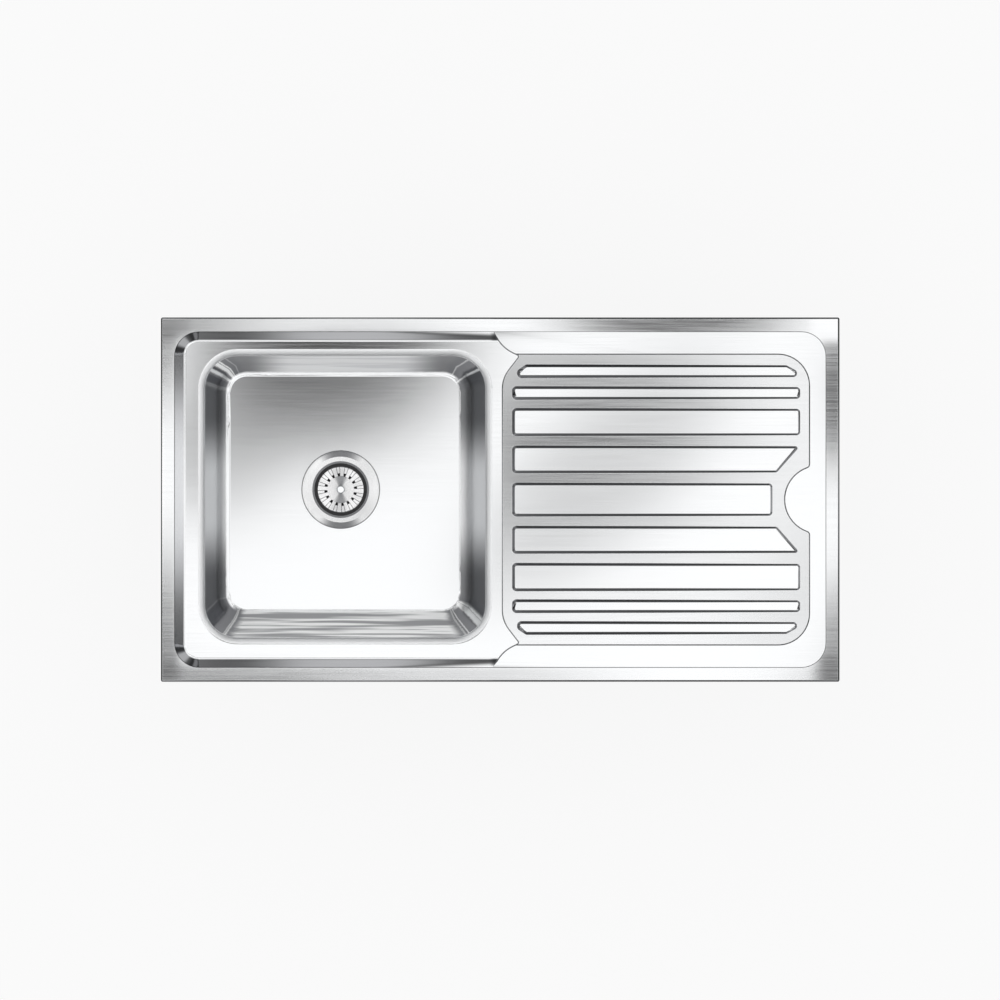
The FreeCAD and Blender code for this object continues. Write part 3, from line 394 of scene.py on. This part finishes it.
def make_bowl_steel():
    """Deep-drawn stainless steel: bright on the floor, satin where the die dragged walls and corners,
    with painted reflection and shade.
    """
    material, tree, shader = new_material("drawn stainless steel", Metallic=1.0)
    x, y, z, slope = place_and_slope(tree)
    across = add(tree, "Math", add(tree, "Math", x, BOWL_MIDDLE.x, operation="SUBTRACT"),
                 operation="ABSOLUTE")
    along = add(tree, "Math", add(tree, "Math", y, BOWL_MIDDLE.y, operation="SUBTRACT"),
                operation="ABSOLUTE")
    facing = facing_way(tree)
    side = add(tree, "SeparateXYZ", facing).outputs
    to_middle = add(tree, "VectorMath", BOWL_MIDDLE, add(tree, "TexCoord").outputs["Object"],
                    operation="SUBTRACT")
    inward = add(tree, "VectorMath", facing, to_middle, operation="DOT_PRODUCT").outputs["Value"]
    inside = add(tree, "MapRange", inward, *FACES_INWARD, **EASED)
    right = add(tree, "MapRange", side["X"], *FACES_MINUS, **EASED)
    back = add(tree, "MapRange", side["Y"], *FACES_MINUS, **EASED)
    front = add(tree, "MapRange", side["Y"], *FACES_PLUS, **EASED)
    corner = add(tree, "MapRange", slantness(tree, facing), *CORNER_WALL, **EASED)

    # painted reflection on the satin walls: painted shade darkens their ends left and right, the back
    # and front get painted light streaks
    painted_streaks = add(tree, "MapRange", grain(tree, STREAK_MM, stretch=STREAK_STRETCH), *STREAK_SPAN,
                  **EASED)
    near_middle = add(tree, "MapRange", along, *SIDES_BRIGHTEN, **EASED)
    painted_wall_tone = add(tree, "Mix", near_middle, "#8E8F91", "#ECEDEE", data_type="RGBA")
    lit = add(tree, "Mix", painted_streaks, "#D3D4D6", "#E4E5E6", data_type="RGBA")
    near_end = add(tree, "MapRange", across, *BACK_DARKENS, **EASED)
    lit = add(tree, "Mix", near_end, lit, "#8F9092", data_type="RGBA")
    painted_wall_tone = add(tree, "Mix", back, painted_wall_tone, lit, data_type="RGBA")
    lines = add(tree, "Mix", painted_streaks, "#A2A3A5", "#F4F5F5", data_type="RGBA")
    painted_wall_tone = add(tree, "Mix", front, painted_wall_tone, lines, data_type="RGBA")
    # painted reflection streaks and painted shade running down the corners
    corner_streak_noise = add(tree, "TexNoise", {"Vector": facing, "Scale": CORNER_STREAK_SCALE, "Detail": 3})
    painted_corner_streaks = add(tree, "Mix", add(tree, "MapRange", corner_streak_noise, *CORNER_STREAK_SPAN, **EASED), "#86878A", "#F0F1F1",
                  data_type="RGBA")
    painted_wall_tone = add(tree, "Mix", corner, painted_wall_tone, painted_corner_streaks, data_type="RGBA")

    # where the satin lies: walls under the roll, on the inside
    sharp = add(tree, "Math", right, front, operation="MAXIMUM")
    wall = add(tree, "Mix", sharp, add(tree, "MapRange", slope, *WALL_SLOPE, **EASED),
               add(tree, "MapRange", slope, *SHARP_WALL_SLOPE, **EASED), data_type="FLOAT")
    wall = add(tree, "Math", wall, add(tree, "MapRange", z, *SATIN_FROM_Z, **EASED),
               operation="MULTIPLY")
    wall = add(tree, "Math", wall, inside, operation="MULTIPLY")
    outside = add(tree, "Math", add(tree, "MapRange", inward, *FACES_OUTWARD, **EASED),
                  add(tree, "MapRange", slope, *ROLL_SLOPE, **EASED), operation="MULTIPLY")
    clouds = grain(tree, MILL_MM, stretch=MILL_STRETCH, detail=3)
    raw = add(tree, "Mix", clouds, "#8D8E90", "#A9AAAC", data_type="RGBA")
    colour = add(tree, "Mix", wall, "#ECEDEE", painted_wall_tone, data_type="RGBA")
    plug(tree, add(tree, "Mix", outside, colour, raw, data_type="RGBA"), shader.inputs["Base Color"])
    # the painted wall tone also tints the walls' glancing reflections: more painted shade
    plug(tree, add(tree, "Mix", wall, "#FFFFFF", painted_wall_tone, data_type="RGBA"),
         shader.inputs["Specular Tint"])

    # bright and brushed on floor and flange, rough on walls, roll and outside
    lines = grain(tree, POLISH_MM, stretch=POLISH_STRETCH)
    brushed = add(tree, "MapRange", lines, *NOISE_SPAN, 0.10, 0.115, **EASED)
    roll = add(tree, "Math", add(tree, "MapRange", z, *ROLL_Z, **EASED),
               add(tree, "MapRange", slope, *ROLL_SLOPE, **EASED), operation="MULTIPLY")
    satin = add(tree, "Math", wall, roll, operation="MAXIMUM")
    satin = add(tree, "Math", satin, outside, operation="MAXIMUM")
    plug(tree, add(tree, "Math", satin, SATIN_DULLER, brushed, operation="MULTIPLY_ADD"),
         shader.inputs["Roughness"])

    # waves on the floor alone
    lift = add(tree, "Math", add(tree, "Math", back, front, operation="ADD"), wall,
               operation="MULTIPLY")
    even = add(tree, "Math", add(tree, "MapRange", z, *FLOOR_Z, **EASED),
               add(tree, "MapRange", slope, *FLOOR_SLOPE, **EASED), operation="MAXIMUM")
    waves = add(tree, "Bump", {"Strength": add(tree, "MapRange", even, 1.0, 0.0, **EASED),
                               "Height": grain(tree, WAVE_MM), "Distance": WAVE_RISE,
                               "Normal": leaning(tree, (lift, WALL_LIFT))})
    plug(tree, waves, shader.inputs["Normal"])
    return material


FAN_HALF_DEG = 38                # half width of the dark fans painted on turned pieces, a painted reflection to front and back
SLOT_TURN_DEG = 7                # how far the basket's first slot is turned from the x axis
RING_PITCH = 0.8 * MM            # rings of the cut, drawn about four times too wide so that they show
DISH_STARTS = (0.99, 0.9)        # slopes at which the dish starts and at which it ends in the wall
DISH_ENDS = (0.3, 0.5)
DISH_LIFT = (0, 0, 4.0)          # the dish leans up to catch the ceiling
FAN_OFF_DISH = (1.0, 0.3)
FLANGE_LINE = (FLANGE_RADIUS - 1.6 * MM, FLANGE_RADIUS - 0.8 * MM)
# radii of the painted shade ring at the strainer's dish step
DISH_STEP_SHADE_RADIUS = (40.2 * MM, 39.4 * MM)
FLUTE_RADIUS = (19 * MM, 22 * MM)
FLUTE_EDGE = 0.3                 # the height on each flute's cosine at which its line runs
FLUTE_LINE = (0.34, 0.05)        # and how near to it the line starts and is full


def make_turned_steel(name, tint, fan_shade_tint, flutes=0):
    """Steel turned on a lathe: fine rings round the waste's axis, with painted dark fans to front and
    back and painted shade lines.
    """
    material, tree, shader = new_material(name, Metallic=1.0, Anisotropic=0.7, Roughness=0.25)
    coords = add(tree, "TexCoord").outputs
    slope = add(tree, "SeparateXYZ", coords["Normal"]).outputs["Z"]
    arm = add(tree, "VectorMath", coords["Object"], DRAIN, operation="SUBTRACT")
    arm = add(tree, "VectorMath", arm, (1, 1, 0), operation="MULTIPLY")
    out = add(tree, "VectorMath", arm, operation="NORMALIZE")
    plug(tree, out, shader.inputs["Tangent"])
    dished = add(tree, "Math", add(tree, "MapRange", slope, *DISH_STARTS, **EASED),
                 add(tree, "MapRange", slope, *DISH_ENDS, **EASED), operation="MULTIPLY")
    plug(tree, leaning(tree, (dished, DISH_LIFT)), shader.inputs["Normal"])

    # rings, the two painted dark fans (painted reflection), and a painted shade line at the flange's
    # edge
    radius = add(tree, "VectorMath", arm, operation="LENGTH").outputs["Value"]
    rings = add(tree, "Math", radius, 2 * math.pi / RING_PITCH, operation="MULTIPLY")
    rings = add(tree, "MapRange", add(tree, "Math", rings, operation="SINE"), -1, 1, **EASED)
    colour = add(tree, "Mix", rings, tint, "#F8F8F8", data_type="RGBA")
    way = add(tree, "SeparateXYZ", out).outputs
    north = add(tree, "Math", way["Y"], operation="ABSOLUTE")
    fan_shade = add(tree, "MapRange", north, math.cos(math.radians(FAN_HALF_DEG)), 1.0, **EASED)
    fan_shade = add(tree, "Math", fan_shade, add(tree, "MapRange", dished, *FAN_OFF_DISH, **EASED),
              operation="MULTIPLY")
    colour = add(tree, "Mix", fan_shade, colour, fan_shade_tint, data_type="RGBA")
    rim = add(tree, "MapRange", radius, *FLANGE_LINE, **EASED)
    colour = add(tree, "Mix", rim, colour, "#6E6F71", data_type="RGBA")

    # painted shade: a dark line to each side of a basket's flutes, or a dark ring at the strainer's dish
    # step
    if flutes:
        angle = add(tree, "Math", way["Y"], way["X"], operation="ARCTAN2")
        angle = add(tree, "Math", angle, math.radians(SLOT_TURN_DEG), operation="SUBTRACT")
        turn = add(tree, "Math", add(tree, "Math", angle, flutes, operation="MULTIPLY"),
                   operation="COSINE")
        off = add(tree, "Math", add(tree, "Math", turn, FLUTE_EDGE, operation="SUBTRACT"),
                  operation="ABSOLUTE")
        line = add(tree, "Math", add(tree, "MapRange", off, *FLUTE_LINE, **EASED),
                   add(tree, "MapRange", radius, *FLUTE_RADIUS, **EASED), operation="MULTIPLY")
        colour = add(tree, "Mix", line, colour, "#606163", data_type="RGBA")
    else:
        dish_step_shade = add(tree, "MapRange", radius, *DISH_STEP_SHADE_RADIUS, **EASED)
        colour = add(tree, "Mix", dish_step_shade, colour, "#7C7D7F", data_type="RGBA")
    plug(tree, colour, shader.inputs["Base Color"])
    return material


def make_chrome():
    """Chromium plate on polished brass: cool, nearly mirror-smooth."""
    material, tree, shader = new_material("chromium plate", Metallic=1.0)
    plug(tree, add(tree, "Mix", grain(tree, 3), "#E9ECEE", "#F3F5F6", data_type="RGBA"),
         shader.inputs["Base Color"])
    plug(tree, add(tree, "MapRange", grain(tree, 1.2), *NOISE_SPAN, 0.04, 0.08, **EASED),
         shader.inputs["Roughness"])
    return material


def make_wire_steel():
    """Drawn stainless wire and rod: dull lines along the draw."""
    material, tree, shader = new_material("drawn stainless wire", Metallic=1.0)
    lines = grain(tree, 0.5, stretch=(1, 1, 20))
    plug(tree, add(tree, "Mix", lines, "#A9ABAD", "#D2D4D6", data_type="RGBA"),
         shader.inputs["Base Color"])
    plug(tree, add(tree, "MapRange", lines, *NOISE_SPAN, 0.22, 0.38, **EASED),
         shader.inputs["Roughness"])
    plug(tree, add(tree, "Bump", {"Height": lines, "Distance": 0.02 * MM}), shader.inputs["Normal"])
    return material


def make_zinc():
    """Bright zinc plate on stamped steel: faintly blue, cloudy where it was handled."""
    material, tree, shader = new_material("zinc-plated steel", Metallic=1.0)
    clouds = grain(tree, 7, detail=4)
    plug(tree, add(tree, "Mix", clouds, "#A8AFB8", "#D3D8DD", data_type="RGBA"),
         shader.inputs["Base Color"])
    plug(tree, add(tree, "MapRange", clouds, *NOISE_SPAN, 0.26, 0.46, **EASED),
         shader.inputs["Roughness"])
    plug(tree, add(tree, "Bump", {"Height": grain(tree, 0.8), "Distance": 0.03 * MM}),
         shader.inputs["Normal"])
    return material


# ---- rubber, foam and plastic ----
def make_rubber():
    """Moulded nitrile rubber: matt black, dusty on its high spots."""
    material, tree, shader = new_material("moulded rubber")
    skin = grain(tree, 1.4, detail=4)
    plug(tree, add(tree, "Mix", skin, "#141415", "#2A2A2C", data_type="RGBA"),
         shader.inputs["Base Color"])
    plug(tree, add(tree, "MapRange", skin, *NOISE_SPAN, 0.5, 0.72, **EASED),
         shader.inputs["Roughness"])
    plug(tree, add(tree, "Bump", {"Height": skin, "Distance": 0.06 * MM}), shader.inputs["Normal"])
    return material


def make_foam():
    """Closed-cell polyethylene foam strip: grey, with skinned-over cells about 1 mm across."""
    material, tree, shader = new_material("closed-cell foam", Roughness=0.92)
    place = add(tree, "TexCoord").outputs["Object"]
    cells = add(tree, "TexVoronoi", {"Vector": place, "Scale": 1 / (1.1 * MM)})
    plug(tree, add(tree, "Mix", cells, "#6A6B6F", "#47484B", data_type="RGBA"),
         shader.inputs["Base Color"])
    plug(tree, add(tree, "Bump", {"Height": cells, "Distance": 0.25 * MM}), shader.inputs["Normal"])
    return material


def make_bitumen():
    """Bitumen-filled damping sheet: near black, with pale mineral specks and a pressed texture."""
    material, tree, shader = new_material("bitumen damping sheet")
    lumps = grain(tree, 4, detail=5)
    specks = add(tree, "MapRange", grain(tree, 0.9), 0.68, 0.74, **EASED)
    colour = add(tree, "Mix", lumps, "#232325", "#3B3B3D", data_type="RGBA")
    plug(tree, add(tree, "Mix", specks, colour, "#77777A", data_type="RGBA"),
         shader.inputs["Base Color"])
    plug(tree, add(tree, "MapRange", lumps, *NOISE_SPAN, 0.62, 0.85, **EASED),
         shader.inputs["Roughness"])
    plug(tree, add(tree, "Bump", {"Height": lumps, "Distance": 0.35 * MM}), shader.inputs["Normal"])
    return material


def make_fibre():
    """Vulcanised fibre: brown pressed paper with short flecks."""
    material, tree, shader = new_material("vulcanised fibre", Roughness=0.75)
    flecks = grain(tree, 0.7, stretch=(4, 1, 1), detail=4)
    plug(tree, add(tree, "Mix", flecks, "#7E6043", "#B0906A", data_type="RGBA"),
         shader.inputs["Base Color"])
    plug(tree, add(tree, "Bump", {"Height": flecks, "Distance": 0.08 * MM}), shader.inputs["Normal"])
    return material


def make_polypropylene():
    """Injection-moulded polypropylene: waxy white with a fine spark-eroded texture."""
    material, tree, shader = new_material("moulded polypropylene", Subsurface_Weight=0.08,
                                          Subsurface_Scale=0.002)
    skin = grain(tree, 0.9, detail=3)
    plug(tree, add(tree, "Mix", grain(tree, 25), "#DEDEDA", "#EDEDEA", data_type="RGBA"),
         shader.inputs["Base Color"])
    plug(tree, add(tree, "MapRange", skin, *NOISE_SPAN, 0.34, 0.48, **EASED),
         shader.inputs["Roughness"])
    plug(tree, add(tree, "Bump", {"Height": skin, "Distance": 0.03 * MM}), shader.inputs["Normal"])
    return material


# ---- studio: a bright cloth ceiling with grey cards, in a tent that is darkest halfway up ----
CEILING_Z = 2.0
CEILING_HALF = (1.3, 0.85)
CEILING_LIGHT = 1.2
CARDS = (  # grey cards on the ceiling: x, y, reach in x and y, turn in degrees, depth of shade
    (-0.235, 0.205, 0.28, 0.19, 15.0, 0.88),
    (-0.28, 0.215, 0.19, 0.075, 0.0, 0.62),
    (-0.41, 0.06, 0.14, 0.12, 0.0, 0.47),
    (0.135, 0.03, 0.32, 0.13, 43.0, 0.38),
    (-0.58, 0.38, 0.33, 0.15, 0.0, 0.74),
    (-0.63, 0.24, 0.13, 0.15, 0.0, 0.75),
    (0.245, 0.38, 0.22, 0.11, 0.0, 0.93),
    (0.61, 0.15, 0.17, 0.14, 0.0, 0.93),
    (0.61, -0.28, 0.17, 0.22, 0.0, 0.82),
    (0.56, -0.40, 0.20, 0.11, 0.0, 0.6),
    (-0.61, -0.25, 0.13, 0.25, 0.0, 0.8),
    (-0.50, -0.40, 0.45, 0.12, 0.0, 0.75),
    (-0.10, -0.40, 0.35, 0.09, 0.0, 0.4),
)
SPOT_FULL = 0.65                 # a spot is full from here to its middle, as a share of its reach
TENT_HALF = (1.6, 1.05)
TENT_TOP = 2.4
TENT_ROUND = 0.3                 # radius of its corners
TENT_FOOT = 0.42                 # its light at the foot
TENT_DARK = 0.2                  # and halfway up
TENT_BRIGHTENS = 0.75            # how much lighter its top is than that
TENT_CORNER = 0.8                # how much lighter its corners are
DARK_HEIGHT = (0.15, 0.42)       # heights, as shares of the distance from the middle
BRIGHT_HEIGHT = (0.7, 1.9)
CORNER_REACH = (0.30, 0.48)
WINDOWS = (  # pale places on the tent's walls: x, y, z, how far each reaches, and its light
    (1.60, 0.02, 1.0, 0.3, 0.18, 1.6, 2.0),
    (-1.60, 0.02, 1.0, 0.3, 0.18, 1.6, 2.0),
    (-0.205, 1.05, 0.5, 0.16, 0.3, 0.7, 1.2),
    (-0.205, -1.05, 0.5, 0.16, 0.3, 0.7, 1.2),
)
FLOOR_HALF = 30.0
FLOOR_GAP = 0.5 * MM             # between the floor and the lowest piece
FLOOR_GLOW = 0.88                # share of the floor's look that is its own pale light
PHOTO_WIDTH = 1.4                # what the photograph's 1000 pixels cover
CAMERA_PLACE = (-0.0003, -0.0006, 3.0)


def soft_spot(tree, x, y, z, reach_x, reach_y, reach_z, turn=0.0):
    """1 in the middle of a soft round spot and 0 past its reach."""
    place = add(tree, "TexCoord").outputs["Object"]
    spot = add(tree, "Mapping", {"Vector": place, "Location": (x, y, z),
                                 "Rotation": (0, 0, math.radians(turn)),
                                 "Scale": (reach_x, reach_y, reach_z)}, vector_type="TEXTURE")
    ball = add(tree, "TexGradient", spot, gradient_type="SPHERICAL")
    return add(tree, "MapRange", ball.outputs["Fac"], 0.0, SPOT_FULL, **EASED)


def flat_sheet(half_x, half_y, z):
    """A bmesh of one level rectangle in the middle of the scene."""
    bm = bmesh.new()
    bmesh.ops.create_grid(bm, x_segments=1, y_segments=1, size=1.0)
    place = Matrix.LocRotScale(Vector((0, 0, z)), None, Vector((half_x, half_y, 1)))
    bmesh.ops.transform(bm, matrix=place, verts=bm.verts)
    return bm


def staged(bm, name):
    """A stage piece from a bmesh, and the empty tree of its material."""
    mesh = bpy.data.meshes.new(name)
    bm.to_mesh(mesh)
    bm.free()
    piece = bpy.data.objects.new(name, mesh)
    bpy.context.scene.collection.objects.link(piece)
    material = bpy.data.materials.new(name + " cloth")
    material.use_nodes = True
    material.node_tree.nodes.clear()
    mesh.materials.append(material)
    return piece, material.node_tree


def make_ceiling():
    sheet, tree = staged(flat_sheet(*CEILING_HALF, CEILING_Z), "ceiling")
    sheet.visible_camera = False
    sheet.visible_shadow = False
    light = CEILING_LIGHT
    for x, y, reach_x, reach_y, turn, depth in CARDS:
        shade = soft_spot(tree, x, y, CEILING_Z, reach_x, reach_y, 1.0, turn)
        shade = add(tree, "Math", shade, -depth, 1.0, operation="MULTIPLY_ADD")
        light = add(tree, "Math", light, shade, operation="MULTIPLY")
    glow = add(tree, "Emission", {"Color": "#FFFFFF", "Strength": light})
    add(tree, "OutputMaterial", glow)


def make_tent():
    """Cloth walls that only gloss reflects: mid grey at the foot, dark over that, nearly white at
    the top, and lighter in the corners and at the windows."""
    bm = flat_sheet(*TENT_HALF, CAD_BOX[0].z)
    bmesh.ops.bevel(bm, geom=bm.verts, offset=TENT_ROUND, offset_type="OFFSET", affect="VERTICES",
                    segments=8, profile=0.5, material=-1)
    floor = list(bm.faces)
    walls = bmesh.ops.extrude_edge_only(bm, edges=bm.edges)
    top = [part for part in walls["geom"] if isinstance(part, bmesh.types.BMVert)]
    bmesh.ops.translate(bm, vec=(0, 0, TENT_TOP), verts=top)
    bmesh.ops.delete(bm, geom=floor, context="FACES")
    tent, tree = staged(bm, "tent")
    tent.visible_camera = False
    tent.visible_shadow = False
    tent.visible_diffuse = False
    place = add(tree, "TexCoord").outputs["Object"]
    level = add(tree, "VectorMath", place, (1, 1, 0), operation="MULTIPLY")
    away = add(tree, "VectorMath", level, operation="LENGTH").outputs["Value"]
    height = add(tree, "Math", add(tree, "SeparateXYZ", place).outputs["Z"], away,
                 operation="DIVIDE")
    light = add(tree, "Math",
                add(tree, "MapRange", height, *DARK_HEIGHT, TENT_FOOT, TENT_DARK, **EASED),
                add(tree, "MapRange", height, *BRIGHT_HEIGHT, 0.0, TENT_BRIGHTENS, **EASED),
                operation="ADD")
    corner = slantness(tree, add(tree, "VectorMath", level, operation="NORMALIZE"))
    corner = add(tree, "MapRange", corner, *CORNER_REACH, 0.0, TENT_CORNER, **EASED)
    light = add(tree, "Math", light, corner, operation="ADD")
    for *window, window_light in WINDOWS:
        light = add(tree, "Mix", soft_spot(tree, *window), light, window_light, data_type="FLOAT")
    add(tree, "OutputMaterial", add(tree, "Emission", {"Color": "#FFFFFF", "Strength": light}))


def make_world():
    world = bpy.data.worlds.new("light tent")
    bpy.context.scene.world = world
    world.use_nodes = True
    background = world.node_tree.nodes["Background"]
    background.inputs["Color"].default_value = linear("#F9F9F9")
    background.inputs["Strength"].default_value = 1.0


def make_floor():
    """Pale cloth under the sink: camera and gloss see mostly its glow, and it keeps the shadow."""
    _, tree = staged(flat_sheet(FLOOR_HALF, FLOOR_HALF, CAD_BOX[0].z - FLOOR_GAP), "floor")
    ray = add(tree, "LightPath").outputs
    seen = add(tree, "Math", ray["Is Camera Ray"], ray["Is Glossy Ray"], operation="MAXIMUM")
    seen = add(tree, "Math", seen, ray["Is Transmission Ray"], operation="MAXIMUM")
    share = add(tree, "Math", seen, FLOOR_GLOW, operation="MULTIPLY")
    cloth = add(tree, "BsdfDiffuse", {"Color": "#F2F2F2"})
    glow = add(tree, "Emission", {"Color": "#FCFCFC", "Strength": 1.0})
    add(tree, "OutputMaterial", add(tree, "MixShader", share, cloth, glow))


def make_camera():
    """Straight above, with the photograph's scale of 1.4 mm for each of its 1000 pixels."""
    data = bpy.data.cameras.new("camera")
    data.type = "ORTHO"
    data.ortho_scale = PHOTO_WIDTH
    data.clip_end = 100
    camera = bpy.data.objects.new("camera", data)
    camera.location = CAMERA_PLACE
    bpy.context.scene.collection.objects.link(camera)
    bpy.context.scene.camera = camera


deck_steel = make_deck_steel()
FINISHES = {
    "deck_steel": deck_steel,
    "bowl_steel": make_bowl_steel(),
    "strainer_steel": make_turned_steel("turned stainless steel", "#E4E5E6", "#7E7F81"),
    "basket_steel": make_turned_steel("pressed stainless steel", "#ECECED", "#9A9B9D", flutes=16),
    "knob_chrome": make_chrome(),
    "spring_steel": make_wire_steel(),
    "zinc_steel": make_zinc(),
    "black_rubber": make_rubber(),
    "grey_foam": make_foam(),
    "damping_pad": make_bitumen(),
    "fibre_washer": make_fibre(),
    "white_plastic": make_polypropylene(),
}
for part in frame["record"]["subparts"]:
    NODES[part["node"]].material_slots[0].material = FINISHES[part["material_slot"]]

make_deck_skin(deck_steel)
make_ground_weld(deck_steel)
make_world()
make_ceiling()
make_tent()
make_floor()
make_camera()
